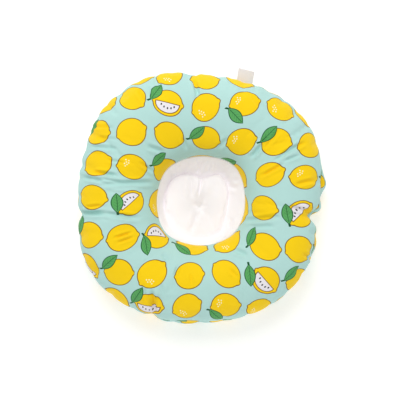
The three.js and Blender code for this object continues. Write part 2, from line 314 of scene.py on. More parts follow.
# Folds of the front panel, in millimetres from the ring's middle: start, end, depth and half width
FRONT_FOLDS = [
    (-126, 77, -96, 74, 1.8, 1.6), (-127, 54, -92, 50, 2.6, 1.8), (-122, 24.5, -92, 20, 3.6, 1.8),
    (-134, 20, -108, 14, 3.2, 1.8), (-116, 10, -50, 14, 3.2, 2.2), (-138, -20.5, -104, -22, 4.8, 2.1),
    (-112, -21, -66, -28, 2.8, 2.1), (-98, -50, -76, -43, 2.6, 1.4), (-94, -55, -74, -48, 1.8, 1.4),
    (-106, 38, -84, 34, 1.6, 1.4), (-62, 54, -40, 47, 2.8, 2.1), (-70, 36, -52, 24, 2, 1.8),
    (66, 19, 93, 34, 2.6, 1.6), (55, 40, 69, 55, 3.2, 2.1), (86, 42, 119, 59, 3.2, 1.9),
    (80, 36, 102, 49, 2.2, 1.6), (70, 50, 88, 72, 2, 1.9), (46, -30, 90, -25, 2.4, 2.1),
    (54, -37, 84, -36, 1.6, 1.8), (104, 10, 128, 16, 2.4, 1.9), (96, -14, 124, -20, 2.2, 1.9),
    (-56, -104, -50, -136, 4.4, 1.9), (-66, -98, -60, -124, 2, 1.8), (30, -82, 39, -92, 1.6, 1.6),
    (-12, -88, -10, -100, 1.4, 1.3), (-26, -80, -30, -92, 1.6, 1.3), (-8, 130, -3, 108, 3.2, 1.8),
    (-72, 118, -62, 100, 2, 1.8), (-60, 122, -54, 106, 1.6, 1.4), (54, 112, 70, 94, 1.8, 1.9),
    (112, -66, 128, -74, 2.2, 1.8), (36, -62, 52, -68, 2.6, 2.1), (-44, -66, -34, -78, 2, 1.9),
    (18, 52, 30, 62, 2, 2.1), (-16, 50, -20, 64, 2, 2.1), (-112, 17, -86, 13, 2, 1.4),
    (-104, 6, -66, 8, 1.4, 1.6), (-118, 64, -90, 60, 1.4, 1.5), (-130, -15, -110, -13, 2, 1.5),
    (60, 46, 76, 66, 1.8, 1.7), (92, 36, 112, 44, 2, 1.5), (-60, -108, -56, -128, 1.8, 1.4),
    (-44, -98, -40, -118, 1.4, 1.6),
]
DEEPEST_FOLD = 3.6 * MM
FOLDS_START = 6 * MM

# Shape of a fold: share of its length at which each end fades, and its raised sides in half widths
FOLD_ENDS = 0.3
RIDGE = 0.45
RIDGE_AWAY = 2
RIDGE_SPREAD = 0.9


def away_from_line(x, y, line):
    """How far points lie from a straight line between two places, and their share of its length."""
    x_start, y_start, x_end, y_end = line
    x_way, y_way = x_end - x_start, y_end - y_start
    share = ((x - x_start) * x_way + (y - y_start) * y_way) / (x_way**2 + y_way**2)
    held = np.clip(share, 0, 1)
    away = np.hypot(x - x_start - held * x_way, y - y_start - held * y_way)
    return away, held


def fold_depths(x, y, folds, ridge=RIDGE):
    """How deep points lie in some folds with raised sides. Each fold is a line, a depth and a half width."""
    total = np.zeros(np.shape(x))
    for *line, depth, half_width in folds:
        away, share = away_from_line(x, y, np.array(line) * MM)
        away = away / (half_width * MM)
        ends = smooth_step(0, FOLD_ENDS, share) * (1 - smooth_step(1 - FOLD_ENDS, 1, share))
        total += depth * MM * ends * (bell(away) - ridge * bell((away - RIDGE_AWAY) / RIDGE_SPREAD))
    return total


def gather_depths(angles, from_rim):
    """How deep points lie in the short folds that run inwards from the outer seam's gathers."""
    total = np.zeros(from_rim.shape)
    for at, share, spread in RIM_PUCKERS + RIM_GATHERS:
        size = math.sqrt(share / USUAL_GATHER)
        fade = 1 - smooth_step(GATHER_FADE, 1, from_rim / (GATHER_REACH * size))
        fade = smooth_step(0, GATHER_START, from_rim) * fade
        across = bell(turn_between(angles, at) / min(spread, WIDEST_GATHER))
        total += GATHER_DEPTH * size * fade * across[:, None]
    return total


def folded(points):
    """The cover's points with its folds, those in front and those that run in from the gathers."""
    angles = np.arange(len(points)) * 360 / len(points)
    steps = np.linalg.norm(np.roll(points, -1, axis=1) - points, axis=-1)
    one_way = np.cumsum(steps, axis=1) - steps
    other_way = steps.sum(axis=1, keepdims=True) - one_way
    in_front = smooth_step(0, FOLDS_START, points[..., 2] - SEAM_HEIGHT)
    x, y = (points[..., i] - RING_CENTRE[i] for i in (0, 1))
    depths = in_front * fold_depths(x, y, FRONT_FOLDS)
    depths = depths + gather_depths(angles, np.minimum(one_way, other_way))
    depths = DEEPEST_FOLD * np.tanh(depths / DEEPEST_FOLD)
    result = points - depths[..., None] * grid_normals(points, True)
    result[..., 2] = np.maximum(result[..., 2], 0)
    return result


# Neck sleeve: where it is gathered, in millimetres from the ring's middle, and how wide the gathers are
GATHERS = (-1.5, -12.5)
GATHERED_RADIUS = 1.2

# Every 15 degrees round its gathers: way to the edge of its bulging end and half that edge's width
END_EDGE = [
    31, 33, 37, 41.3, 43, 35.5, 33.6, 39, 42.6, 44.4, 43, 41.7,
    41, 41, 41, 40, 39.5, 39, 38, 38, 37.5, 37, 34, 31,
]
EDGE_WIDTH = [
    2.6, 1.8, 1, 0.9, 0.9, 0.9, 0.9, 0.9, 0.9, 1, 1.2, 2,
    3.2, 5, 6.5, 7.5, 8, 8, 7, 6, 5, 4, 3.2, 2.8,
]

# In the same directions: height of the wall's foot and how late the wall comes down
WALL_FOOT = [
    8, 6, 4, 3, 3, 3, 3, 3, 3, 3, 4, 6,
    8, 9, 10, 11, 12, 12, 11, 10, 9, 8, 8, 8,
]
WALL_BEND = [
    1.1, 1.05, 1, 1, 1, 1, 1, 1, 1, 1, 1.1, 1.2,
    1.4, 1.7, 2, 2.2, 2.4, 2.4, 2.4, 2.2, 2, 1.6, 1.3, 1.2,
]

# Bulging end: height at its crest, where that crest lies, and shares of the height at the edge and gathers
END_HEIGHT = 16.5
END_CREST = 0.66
END_AT_EDGE = 0.8
END_AT_GATHERS = 0.5

# Raised sides of the folds in that end, as shares of their depth
END_RIDGE = 0.3

# Share of the rows at which the wall and the edge end, and half widths of the edge that its rows span
WALL_ROWS_END = 0.4
EDGE_ROWS_END = 0.6
EDGE_SPAN = 1.5

# Sleeve's cloth, its flat cut and how it clears the seam and the floor
SLEEVE_CLOTH = 0.8 * MM
SLEEVE_CUT = (0.314, 0.076)
SLEEVE_INSET = 0.5 * MM
LOWEST = 0.9 * MM

# Folds of the gathered end, in the numbers of the front panel's
END_FOLDS = [
    (1.6, 27, -3.4, -1, 4, 1.5), (-12, 25, -10, -4, 2.8, 3), (-2.5, -15, -12.5, -44, 2.6, 3),
    (-13, -10, 10, -11, 1.2, 2.6), (27, -20, 23.5, -41, 3, 2.4), (-38, -14, -33, -36, 2, 3),
    (10, -18, 16, -40, 0.8, 3), (-22, 16, -20, -6, 0.8, 3.4), (16, 18, 15, 0, 0.7, 3.2),
]

# Folds of the sleeve's wall
WALL_FOLDS = [
    (-14, 40, -22, 24, 4, 2.6), (2, 42, -5, 26, 5, 2.4), (12, 40, 8, 27, 3.2, 2.2),
    (19, 30, 31, 27, 3.2, 2.6), (30, 24, 33, 14, 3.6, 2.6), (31, 14, 43, 8, 3, 2.6),
    (34, 20, 44, 16, 2.2, 2.4), (-34, 30, -38, 14, 4, 2.6), (-44, 0, -44, -16, 2.5, 2),
    (36, -24, 32, -38, 3, 2.4), (-26, 36, -31, 24, 3, 2.4),
]


def sleeve_grid():
    """Points of the sleeve, from its seam to its gathers, and their places on its flat cut."""
    angles = np.arange(SLEEVE_AROUND) * 360 / SLEEVE_AROUND
    gathers = np.array(GATHERS) * MM
    seam = hole_point(angles) - SLEEVE_INSET * direction(angles)
    from_gathers = seam - gathers
    longest = np.linalg.norm(from_gathers, axis=-1)[:, None]
    heading = np.degrees(np.arctan2(from_gathers[:, 1], from_gathers[:, 0]))
    edge = around(END_EDGE, heading)[:, None] * MM
    edge_width = around(EDGE_WIDTH, heading)[:, None] * MM
    foot = around(WALL_FOOT, heading)[:, None] * MM
    bend = around(WALL_BEND, heading)[:, None]

    # the rows go down the wall, across the edge and in to the gathers
    rows = np.linspace(0, 1, SLEEVE_ROWS_DOWN)[None]
    across = (rows - WALL_ROWS_END) / (EDGE_ROWS_END - WALL_ROWS_END)
    on_wall = longest - (longest - edge - EDGE_SPAN * edge_width) * rows / WALL_ROWS_END
    on_edge = edge + edge_width * EDGE_SPAN * (1 - 2 * across)
    on_end = (edge - EDGE_SPAN * edge_width) * (1 - rows) / (1 - EDGE_ROWS_END) + GATHERED_RADIUS * MM
    reach = np.where(rows < WALL_ROWS_END, on_wall, np.where(rows < EDGE_ROWS_END, on_edge, on_end))
    plane = gathers + (from_gathers / longest)[:, None] * reach[..., None]
    x, y = plane[..., 0], plane[..., 1]

    down = np.clip((longest - reach) / (longest - edge), 0, 1)
    wall = SEAM_HEIGHT - (SEAM_HEIGHT - foot) * down**bend
    wall = wall - fold_depths(x, y, WALL_FOLDS)
    share = reach / edge
    dome = np.where(
        share > END_CREST,
        1 - (1 - END_AT_EDGE) * ((share - END_CREST) / (1 - END_CREST)) ** 2,
        1 - (1 - END_AT_GATHERS) * (1 - share / END_CREST) ** 2,
    )
    end = END_HEIGHT * MM * dome - fold_depths(x, y, END_FOLDS, END_RIDGE)
    height = end + (wall - end) * smooth_step(-edge_width, edge_width, reach - edge)
    points = np.stack([x + RING_CENTRE[0], y + RING_CENTRE[1], np.maximum(height, LOWEST)], -1)
    flat_around = np.radians(angles)[:, None] * HOLE_RADIUS
    flat = np.stack(np.broadcast_arrays(flat_around, rows * SLEEVE_CUT[1]), -1)
    return points, flat


# Label, a tape folded into a loop with its open end on the outer seam
LABEL_ANGLE = 69
LABEL_LEAN = 80
LABEL_WIDTH = 18.5 * MM
LABEL_LENGTH = 17.3 * MM
LABEL_CLOTH = 0.5 * MM
LABEL_FOLD = 0.7 * MM
LABEL_STEPS_UP = 14
LABEL_STEPS_ROUND = 9
LABEL_STEPS_ACROSS = 16

# How its two layers part along its length, and how it curls: amount, lean, wave and waves across
LABEL_PARTS = (-0.6, 0.5)
LABEL_CURL = 1.4 * MM
CURL_LEAN = 1.2
CURL_WAVE = 0.4
CURL_WAVES = 5


def label_grid():
    """Points of the label's loop, up one layer and down the other, and their places on its flat cut."""
    middle = rim_point(np.array([LABEL_ANGLE]))[0]
    reach = math.degrees(LABEL_WIDTH / 2 / RIM_RADIUS)
    ends = rim_point(np.array([LABEL_ANGLE - reach, LABEL_ANGLE + reach]))
    across = (ends[0] - ends[1]) / np.linalg.norm(ends[0] - ends[1])
    lean = direction(np.array(float(LABEL_LEAN)))
    straight = LABEL_LENGTH - LABEL_FOLD
    ups = np.linspace(0, straight, LABEL_STEPS_UP)
    bend = np.radians(np.linspace(-90, 90, LABEL_STEPS_ROUND))[1:-1]
    layer = np.full(ups.shape, LABEL_FOLD)
    up = np.concatenate([ups, straight + LABEL_FOLD * np.cos(bend), ups[::-1]])
    high = np.concatenate([-layer, LABEL_FOLD * np.sin(bend), layer])
    high = high * smooth_step(*LABEL_PARTS, up / LABEL_LENGTH)
    sides = np.linspace(-0.5, 0.5, LABEL_STEPS_ACROSS)
    plane = (
        middle
        + np.array(RING_CENTRE)
        + (up - SEAM_PINCH)[None, :, None] * lean
        + (sides * LABEL_WIDTH)[:, None, None] * across
    )
    bow = sides[:, None] * CURL_LEAN + CURL_WAVE * np.sin(CURL_WAVES * sides[:, None])
    curl = LABEL_CURL * (up / LABEL_LENGTH) ** 2 * bow
    points = np.concatenate([plane, (SEAM_HEIGHT + high[None] + curl)[..., None]], -1)
    way = np.concatenate([[0], np.cumsum(np.hypot(np.diff(up), np.diff(high)))])
    flat = np.stack(np.broadcast_arrays((sides * LABEL_WIDTH)[:, None], way[None]), -1)
    return points, flat


# What lies under a panel, whose flat cut is a round ring: the stuffing, set this far in
STUFFING_INSET = 5.5 * MM


class Signal:
    """An output socket of a node tree that can be written in sums."""

    def __init__(self, tree, socket):
        self.tree = tree
        self.socket = socket

    def math(self, operation, *others):
        node = self.tree.nodes.new("ShaderNodeMath")
        node.operation = operation
        for slot, value in enumerate((self, *others)):
            if isinstance(value, Signal):
                self.tree.links.new(value.socket, node.inputs[slot])
            else:
                node.inputs[slot].default_value = value
        return Signal(self.tree, node.outputs[0])

    def __add__(self, other):
        return self.math("ADD", other)

    def __sub__(self, other):
        return self.math("SUBTRACT", other)

    def __mul__(self, other):
        return self.math("MULTIPLY", other)

    def __truediv__(self, other):
        return self.math("DIVIDE", other)

    def less(self, edge, blur=0.08 * MM):
        """1 where the signal is below edge, 0 where it is above, soft over blur on both sides."""
        node = self.tree.nodes.new("ShaderNodeMapRange")
        node.interpolation_type = "SMOOTHSTEP"
        self.tree.links.new(self.socket, node.inputs["Value"])
        node.inputs["From Min"].default_value = edge - blur
        node.inputs["From Max"].default_value = edge + blur
        node.inputs["To Min"].default_value = 1
        node.inputs["To Max"].default_value = 0
        return Signal(self.tree, node.outputs["Result"])


def hypot(x, y):
    return (x * x + y * y).math("SQRT")


def turned(x, y, angle):
    """x and y seen from axes that are turned by an angle in radians."""
    sine = angle.math("SINE")
    cosine = angle.math("COSINE")
    return x * cosine + y * sine, y * cosine - x * sine


# The print's repeat of five columns and six rows. A cell's middle is
# PRINT_START + column * COLUMN_STEP + row * ROW_STEP on the flat cloth.
PRINT_START = (-110.2 * MM, 192.7 * MM)
COLUMN_STEP = (41.1 * MM, -2.6 * MM)
ROW_STEP = (-3.6 * MM, -39.4 * MM)
COLUMNS = 5
ROWS = 6
MOST_SHIFT = 16 * MM

# Fruit: column, row, shift from the cell's middle in millimetres, turn and kind
PLAIN, DOTS_ABOVE, DOTS_BELOW, CUT = range(4)
FRUIT = [
    (0, 1, 2.5, -1, 312, CUT), (1, 1, 2.3, -2, 358, PLAIN), (2, 1, -2, -2.3, 40, DOTS_BELOW),
    (3, 1, -1.5, -4.6, 3, PLAIN), (4, 1, 0, 1, 325, PLAIN),
    (0, 2, 2.5, 1, 335, DOTS_BELOW), (1, 2, -2, 3, 320, PLAIN), (2, 2, -2.9, 0, 350, CUT),
    (3, 2, -0.5, 0, 22, DOTS_BELOW), (4, 2, 2.5, 4, 8, DOTS_ABOVE),
    (0, 3, 1.5, 1.5, 350, PLAIN), (1, 3, 1.5, 2, 20, PLAIN), (2, 3, 2, 3.5, 338, PLAIN),
    (3, 3, 3.5, 4, 340, PLAIN), (4, 3, 3, 0.5, 10, DOTS_ABOVE),
    (0, 4, 3, 3.5, 22, PLAIN), (1, 4, 0, 2.5, 357, DOTS_ABOVE), (2, 4, 2, 0.5, 340, PLAIN),
    (3, 4, 0, 0, 20, PLAIN), (4, 4, -3.5, -3, 320, PLAIN),
    (0, 5, 0, 2, 345, PLAIN), (1, 5, 0, -2.5, 225, CUT), (2, 5, 0, 0.5, 10, DOTS_BELOW),
    (3, 5, 0, 0, 30, PLAIN), (4, 5, 0, 0, 340, PLAIN),
    (0, 0, 1, -3, 350, PLAIN), (1, 0, -2, -3.5, 12, PLAIN), (2, 0, -2.5, 1.5, 182, CUT),
    (3, 0, -1, -4, 340, PLAIN), (4, 0, -3.5, 2, 45, DOTS_BELOW),
]

# Leaves: column, row, shift from the cell's middle in millimetres and turn
LEAVES = [
    (0, 1, -15, 4, 275), (1, 1, -9, 9, 42), (2, 2, -15.5, 12.5, 56), (4, 2, -7.5, -9.5, 312),
    (0, 3, -8, 10, 46), (3, 3, -7, 11, 40), (2, 4, -8, 15, 40), (4, 4, -12, 12, 20),
    (1, 5, -15, -3, 95), (0, 0, -13, 8, 65), (2, 0, -16, -9.5, 290), (3, 0, -12, -10, 314),
]

# Lemon: half its length and width, its pointed end and its stalk end, and how softly they join it
LEMON_LONG = 16.3 * MM
LEMON_WIDE = 14.7 * MM
LEMON_ENDS = 15.8 * MM
TIP_RADIUS = 2.3 * MM
STALK_RADIUS = 1.7 * MM
TIP_BLEND = 3 * MM
STALK_BLEND = 2.4 * MM

# Half of the line that is drawn round everything
LINE = 0.45 * MM

# Cut face of a lemon, half a round below its middle, with its seeds in millimetres
WEDGE_LONG = 13.4 * MM
WEDGE_WIDE = 11.2 * MM
WEDGE_DROP = 0.4 * MM
SEEDS = [(-6.6, -3.2), (-3.2, -5.5), (0.8, -6.3), (4.6, -5.4), (7.8, -3.2)]
SEED_RADIUS = 1.25 * MM
SEED_SLIMNESS = 1.5

# Light dots near the stalk end of some lemons, in millimetres
DOTS = [(-8.8, 3.6), (-6.6, 5.4), (-6.2, 2.6), (-8.2, 0.8), (-4.2, 4.6), (-6.9, 8.0), (-3.8, 7.3)]
DOT_RADIUS = 0.75 * MM

# Leaf: how far left of a cell's middle it may lie, in cells, its blade and how far its outline reaches in
LEAF_COLUMN_REACH = 0.82
LEAF_HALF_WIDTH = 5.7 * MM
LEAF_ROUNDNESS = 25 * MM
LEAF_LINE_INSIDE = 0.5 * MM

# Its bent stem
STEM_FOOT = 11 * MM
STEM_MIDDLE = 12.7 * MM
STEM_HALF_LENGTH = 1.7 * MM
STEM_HALF_WIDTH = 0.75 * MM
STEM_BEND = 0.6

# Its vein, which goes on past its half length by its half width
VEIN_HALF_LENGTH = 9.5 * MM
VEIN_HALF_WIDTH = 0.3 * MM

# Its slanted ribs, with their line and blur as shares of a step, in a patch that is measured like the vein
RIB_STEP = 3.6 * MM
RIB_SLANT = 1.1
RIB_LINE = 0.05
RIB_BLUR = 0.03
RIBS_HALF_LENGTH = 8 * MM
RIBS_HALF_WIDTH = 3 * MM
RIB_TONE = 0.7


def lookup(tree, place, table):
    """Four numbers from 0 to 1 for each cell of the repeat, as a colour ramp that holds its values."""
    node = tree.nodes.new("ShaderNodeValToRGB")
    ramp = node.color_ramp
    ramp.interpolation = "CONSTANT"
    while len(ramp.elements) < len(table):
        ramp.elements.new(0.5)
    for i in range(len(table)):
        ramp.elements[i].position = i / len(table)
    for i, row in enumerate(table):
        ramp.elements[i].color = row
    tree.links.new(place.socket, node.inputs["Fac"])
    split = tree.nodes.new("ShaderNodeSeparateColor")
    tree.links.new(node.outputs["Color"], split.inputs["Color"])
    channels = [Signal(tree, split.outputs[i]) for i in range(3)]
    return (*channels, Signal(tree, node.outputs["Alpha"]))


def cell_index(column, row):
    """The place of a cell in the repeat, from 0 to 1."""
    column = column - (column / COLUMNS).math("FLOOR") * COLUMNS
    row = row - (row / ROWS).math("FLOOR") * ROWS
    return (row * COLUMNS + column + 0.5) / (COLUMNS * ROWS)


def shift_share(millimetres):
    """A shift as a share from 0 to 1, as the tables hold it."""
    return 0.5 + millimetres * MM / (2 * MOST_SHIFT)


# A cell with nothing in it
EMPTY_CELL = (0.5, 0.5, 0, 0)


def fruit_table():
    """Shift, turn and kind of the fruit in every cell."""
    table = [EMPTY_CELL] * (COLUMNS * ROWS)
    for column, row, right, up, turn, kind in FRUIT:
        table[row * COLUMNS + column] = (shift_share(right), shift_share(up), turn / 360, kind / CUT)
    return table


def leaf_table():
    """Shift and turn of the leaf in every cell, and 1 where there is one."""
    table = [EMPTY_CELL] * (COLUMNS * ROWS)
    for column, row, right, up, turn in LEAVES:
        table[row * COLUMNS + column] = (shift_share(right), shift_share(up), turn / 360, 1)
    return table


def paint(tree, base, colour, mask):
    """base with colour over it where the mask is 1."""
    node = tree.nodes.new("ShaderNodeMix")
    node.data_type = "RGBA"
    tree.links.new(mask.socket, node.inputs["Factor"])
    tree.links.new(base, node.inputs["A"])
    if isinstance(colour, tuple):
        node.inputs["B"].default_value = (*colour, 1)
    else:
        tree.links.new(colour, node.inputs["B"])
    return node.outputs["Result"]


def linear(red, green, blue):
    """A colour given as on a screen, from 0 to 255, in the shader's linear numbers."""
    values = (value / 255 for value in (red, green, blue))
    return tuple(v / 12.92 if v <= 0.04045 else ((v + 0.055) / 1.055) ** 2.4 for v in values)


# Colours of the print
MINT = linear(184, 224, 218)
LEMON = linear(255, 213, 0)
OUTLINE = linear(132, 88, 16)
FLESH = linear(240, 236, 240)
SEED = linear(48, 38, 42)
LEAF = linear(90, 169, 94)
LEAF_LINE = linear(20, 84, 48)
DOT = linear(255, 248, 205)

# Colours of the plain cloths, the stuffing and the floor, and the soft glow that two of them give: on the
# white cloth it is painted light that brightens the sleeve, on the floor it keeps the floor evenly bright
WHITE_CLOTH = linear(244, 240, 242)
# painted light: the white cloth glows a little though it is no lamp, which brightens the sleeve in the shaded
# hole
WHITE_CLOTH_PAINTED_GLOW = (1, 0.96, 0.95, 1)
WHITE_CLOTH_PAINTED_GLOW_STRENGTH = 0.13
TAPE = linear(246, 241, 240)
FIBRE = linear(245, 243, 238)
FLOOR = linear(222, 224, 222)
FLOOR_GLOW = (1, 1, 1, 1)
FLOOR_GLOW_STRENGTH = 0.45


def plain_colour(tree, colour):
    """A colour as a socket."""
    node = tree.nodes.new("ShaderNodeRGB")
    node.outputs[0].default_value = (*colour, 1)
    return node.outputs[0]


def cell_offset(u, v, column, row):
    """How far a place on the cloth lies from a cell's middle."""
    right = u - (column * COLUMN_STEP[0] + row * ROW_STEP[0])
    up = v - (column * COLUMN_STEP[1] + row * ROW_STEP[1])
    return right, up


def motif_place(u, v, column, row, right, up, turn):
    """A place on the cloth, seen from the middle of a cell's motif and along the motif's own axes."""
    x, y = cell_offset(u, v, column, row)
    x = x - (right - 0.5) * (2 * MOST_SHIFT)
    y = y - (up - 0.5) * (2 * MOST_SHIFT)
    return turned(x, y, turn * (2 * math.pi))


def nearest_points(x, y, points, stretch=1):
    """Distance to the nearest of some points, given in millimetres."""
    best = None
    for right, up in points:
        away = hypot((x - right * MM) * stretch, y - up * MM)
        best = away if best is None else best.math("MINIMUM", away)
    return best


def with_fruit(tree, colour, u, v, column_place, row_place):
    """A colour with the lemons over it, whole and cut."""
    column = (column_place + 0.5).math("FLOOR")
    row = (row_place + 0.5).math("FLOOR")
    right, up, turn, kind = lookup(tree, cell_index(column, row), fruit_table())
    x, y = motif_place(u, v, column, row, right, up, turn)
    body = (hypot(x / LEMON_LONG, y / LEMON_WIDE) - 1) * LEMON_WIDE
    tip = hypot(x - LEMON_ENDS, y) - TIP_RADIUS
    stalk = hypot(x + LEMON_ENDS, y) - STALK_RADIUS
    fruit = body.math("SMOOTH_MIN", tip, TIP_BLEND).math("SMOOTH_MIN", stalk, STALK_BLEND)
    colour = paint(tree, colour, OUTLINE, fruit.less(LINE))
    colour = paint(tree, colour, LEMON, fruit.less(-LINE))

    is_cut = kind.math("GREATER_THAN", (CUT - 0.5) / CUT)
    is_below = kind.math("GREATER_THAN", (DOTS_BELOW - 0.5) / CUT)
    is_dotted = kind.math("GREATER_THAN", (DOTS_ABOVE - 0.5) / CUT) - is_cut
    wedge = (hypot(x / WEDGE_LONG, (y + WEDGE_DROP) / WEDGE_WIDE) - 1) * WEDGE_WIDE
    wedge = wedge.math("MAXIMUM", y)
    colour = paint(tree, colour, OUTLINE, wedge.less(LINE) * is_cut)
    colour = paint(tree, colour, FLESH, wedge.less(-LINE) * is_cut)
    seeds = nearest_points(x, y, SEEDS, SEED_SLIMNESS)
    colour = paint(tree, colour, SEED, seeds.less(SEED_RADIUS) * is_cut)
    dots = nearest_points(x, y * (is_below * -2 + 1), DOTS)
    return paint(tree, colour, DOT, dots.less(DOT_RADIUS) * is_dotted)


def with_leaves(tree, colour, u, v, column, row):
    """A colour with one row of cells' leaves over it."""
    right, up, turn, there = lookup(tree, cell_index(column, row), leaf_table())
    x, y = motif_place(u, v, column, row, right, up, turn)
    side = y.math("ABSOLUTE")
    along = x.math("ABSOLUTE")
    blade = side + (x * x) / LEAF_ROUNDNESS - LEAF_HALF_WIDTH
    bent = (turn * (4 * math.pi)).math("SINE") * STEM_BEND
    stem = (y + (x + STEM_FOOT) * bent).math("ABSOLUTE") - STEM_HALF_WIDTH
    stem = stem.math("MAXIMUM", (x + STEM_MIDDLE).math("ABSOLUTE") - STEM_HALF_LENGTH)
    leaf = blade.math("MINIMUM", stem)
    inside = blade.less(-LEAF_LINE_INSIDE)
    colour = paint(tree, colour, LEAF_LINE, leaf.less(LINE) * there)
    colour = paint(tree, colour, LEAF, inside * there)

    vein = side.math("MAXIMUM", along - VEIN_HALF_LENGTH).less(VEIN_HALF_WIDTH)
    rib_place = (x - side * RIB_SLANT) / RIB_STEP
    rib = (rib_place - rib_place.math("FLOOR") - 0.5).math("ABSOLUTE").less(RIB_LINE, RIB_BLUR)
    ribbed = side.math("MAXIMUM", along - RIBS_HALF_LENGTH).less(RIBS_HALF_WIDTH)
    marks = vein.math("MAXIMUM", rib * ribbed * RIB_TONE)
    return paint(tree, colour, LEAF_LINE, marks * inside * there)


def printed_colour(tree, u, v):
    """The print's colour at a place on the flat cloth."""
    u = u - PRINT_START[0]
    v = v - PRINT_START[1]
    area = COLUMN_STEP[0] * ROW_STEP[1] - COLUMN_STEP[1] * ROW_STEP[0]
    column_place = (u * ROW_STEP[1] - v * ROW_STEP[0]) / area
    row_place = (v * COLUMN_STEP[0] - u * COLUMN_STEP[1]) / area
    colour = with_fruit(tree, plain_colour(tree, MINT), u, v, column_place, row_place)
    leaf_column = (column_place + LEAF_COLUMN_REACH).math("FLOOR")
    # a leaf may come from the cell above or from the one below
    for step in (0, 1):
        colour = with_leaves(tree, colour, u, v, leaf_column, row_place.math("FLOOR") + step)
    return colour


# Dull surface of cloth
CLOTH_SPECULAR = 0.25

# Tone of a cloth before its threads and patches lighten and darken it
CLOTH_TONE = 0.96

# The same for loose fibre, and how much its clumps lighten it
FIBRE_TONE = 0.9
CLUMP_TONE = 0.2


def new_material(name, roughness, sheen=0.0):
    """A dull material with its node tree and its shader."""
    material = bpy.data.materials.new(name)
    material.use_nodes = True
    tree = material.node_tree
    shader = tree.nodes["Principled BSDF"]
    shader.inputs["Roughness"].default_value = roughness
    shader.inputs["Specular IOR Level"].default_value = CLOTH_SPECULAR
    shader.inputs["Sheen Weight"].default_value = sheen
    return material, tree, shader


def cloth_place(tree):
    """The place on the flat cloth, in metres."""
    node = tree.nodes.new("ShaderNodeUVMap")
    node.uv_map = "flat_cloth"
    split = tree.nodes.new("ShaderNodeSeparateXYZ")
    tree.links.new(node.outputs["UV"], split.inputs[0])
    return Signal(tree, split.outputs["X"]), Signal(tree, split.outputs["Y"])


def noise(tree, scale, detail=2.0):
    """Soft random patches in space."""
    node = tree.nodes.new("ShaderNodeTexNoise")
    node.inputs["Scale"].default_value = scale
    node.inputs["Detail"].default_value = detail
    where = tree.nodes.new("ShaderNodeTexCoord")
    tree.links.new(where.outputs["Object"], node.inputs["Vector"])
    return Signal(tree, node.outputs["Fac"])


def weave_height(u, v, pitch):
    """Threads over and under each other, from -1 to 1."""
    turns = 2 * math.pi / pitch
    return (u * turns).math("SINE") * (v * turns).math("SINE")


def add_bump(tree, shader, height, distance):
    """Small hills and dips in a shader's surface."""
    node = tree.nodes.new("ShaderNodeBump")
    node.inputs["Distance"].default_value = distance
    tree.links.new(height.socket, node.inputs["Height"])
    tree.links.new(node.outputs["Normal"], shader.inputs["Normal"])


def shaded(tree, colour, amount):
    """A colour made lighter and darker by a signal around 1."""
    node = tree.nodes.new("ShaderNodeVectorMath")
    node.operation = "SCALE"
    tree.links.new(colour, node.inputs[0])
    tree.links.new(amount.socket, node.inputs["Scale"])
    return node.outputs["Vector"]


def cloth_tone(tree, threads, thread_tone, patch_scale, patch_tone):
    """How light a cloth is, with its threads and some patches."""
    patches = noise(tree, scale=patch_scale)
    return threads * thread_tone + patches * patch_tone + CLOTH_TONE


def printed_cotton():
    material, tree, shader = new_material("printed_cotton", roughness=0.82, sheen=0.12)
    u, v = cloth_place(tree)
    colour = printed_colour(tree, u, v)
    threads = weave_height(u, v, pitch=0.9 * MM)
    tone = cloth_tone(tree, threads, thread_tone=0.018, patch_scale=38, patch_tone=0.08)
    tree.links.new(shaded(tree, colour, tone), shader.inputs["Base Color"])
    slubs = noise(tree, scale=420)
    thread_height = 0.35
    add_bump(tree, shader, threads * thread_height + slubs, distance=0.12 * MM)
    return material


def white_cotton():
    material, tree, shader = new_material("white_cotton", roughness=0.85, sheen=0.1)
    # painted light: the cloth glows a little, which brightens the sleeve where the hole shades it
    shader.inputs["Emission Color"].default_value = WHITE_CLOTH_PAINTED_GLOW
    shader.inputs["Emission Strength"].default_value = WHITE_CLOTH_PAINTED_GLOW_STRENGTH
    u, v = cloth_place(tree)
    threads = weave_height(u, v, pitch=1.0 * MM)
    tone = cloth_tone(tree, threads, thread_tone=0.02, patch_scale=55, patch_tone=0.06)
    tree.links.new(shaded(tree, plain_colour(tree, WHITE_CLOTH), tone), shader.inputs["Base Color"])
    slubs = noise(tree, scale=300)
    thread_height = 0.4
    add_bump(tree, shader, threads * thread_height + slubs, distance=0.15 * MM)
    return material


def woven_tape():
    material, tree, shader = new_material("woven_tape", roughness=0.6, sheen=0.1)
    u, v = cloth_place(tree)
    rib_pitch = 0.8 * MM
    rib_height = 0.5
    ribs = (u * (2 * math.pi / rib_pitch)).math("SINE")
    threads = weave_height(u, v, pitch=0.5 * MM)
    tone = cloth_tone(tree, ribs + threads, thread_tone=0.02, patch_scale=120, patch_tone=0.06)
    tree.links.new(shaded(tree, plain_colour(tree, TAPE), tone), shader.inputs["Base Color"])
    add_bump(tree, shader, ribs * rib_height + threads, distance=0.08 * MM)
    return material


def fibre_fill():
    material, tree, shader = new_material("fibre_fill", roughness=1.0, sheen=0.2)
    clumps = noise(tree, scale=90, detail=6)
    tone = clumps * CLUMP_TONE + FIBRE_TONE
    tree.links.new(shaded(tree, plain_colour(tree, FIBRE), tone), shader.inputs["Base Color"])
    add_bump(tree, shader, clumps, distance=0.8 * MM)
    return material


def plain_floor():
    material, _, shader = new_material("pale_floor", roughness=0.9)
    shader.inputs["Base Color"].default_value = (*FLOOR, 1)
    shader.inputs["Emission Color"].default_value = FLOOR_GLOW
    shader.inputs["Emission Strength"].default_value = FLOOR_GLOW_STRENGTH
    return material


